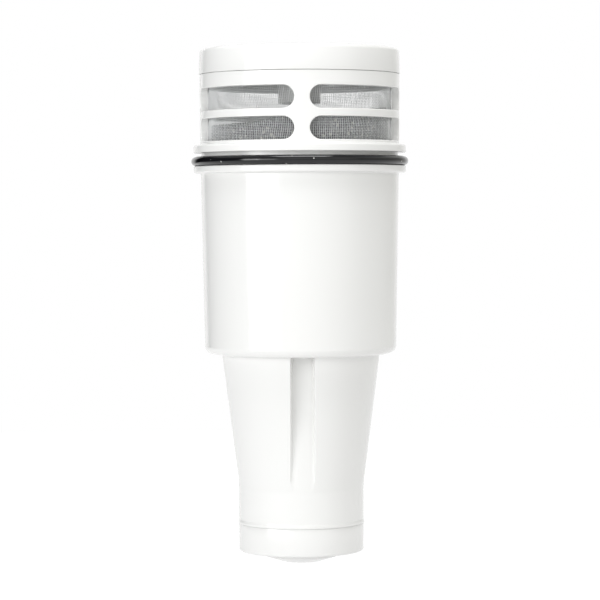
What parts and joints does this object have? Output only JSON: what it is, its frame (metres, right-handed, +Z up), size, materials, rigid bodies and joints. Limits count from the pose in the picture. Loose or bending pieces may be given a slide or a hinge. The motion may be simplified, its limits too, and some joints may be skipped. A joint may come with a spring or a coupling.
{
  "type": "water pitcher filter cartridge",
  "caption": "Drop-in water pitcher filter cartridge: a windowed inlet cage with mesh, a flange with a black ring seal, a tapered fluted body and an outlet in its foot.",
  "frame": {"origin": "centre of the outlet's foot, at the bottom of the cartridge", "axes": "+Z up along the cartridge's axis, towards the top cap; -Y towards the pillar and flute that the picture shows in front"},
  "size_m": [0.0594, 0.0594, 0.14],
  "materials": {
    "white_plastic": "moulded, glossy, white",
    "black_rubber": "smooth, glossy black",
    "woven_mesh": "fine woven thread, pale grey",
    "carbon_grains": "loose grains, dark grey",
    "felt": "pressed felt, white",
    "natural_plastic": "moulded, satin, natural white",
    "cast_resin": "cast, smooth, amber",
    "hollow_fibre": "soft fine fibre, white"
  },
  "bodies": {
    "root": {"housing": "white_plastic", "top_cap": "white_plastic", "bottom_cap": "white_plastic", "o_ring": "black_rubber", "case_seal": "black_rubber", "mesh_screen": "woven_mesh", "filter_media": "carbon_grains", "separator_pad": "felt", "support_grid": "natural_plastic", "fibre_case": "natural_plastic", "potting_disc": "cast_resin", "fibre_loop_01": "hollow_fibre", "fibre_loop_02": "hollow_fibre", "fibre_loop_03": "hollow_fibre", "fibre_loop_04": "hollow_fibre", "fibre_loop_05": "hollow_fibre", "fibre_loop_06": "hollow_fibre", "fibre_loop_07": "hollow_fibre", "fibre_loop_08": "hollow_fibre", "fibre_loop_09": "hollow_fibre", "fibre_loop_10": "hollow_fibre", "fibre_loop_11": "hollow_fibre", "fibre_loop_12": "hollow_fibre", "fibre_loop_13": "hollow_fibre"}
  },
  "joints": []
}
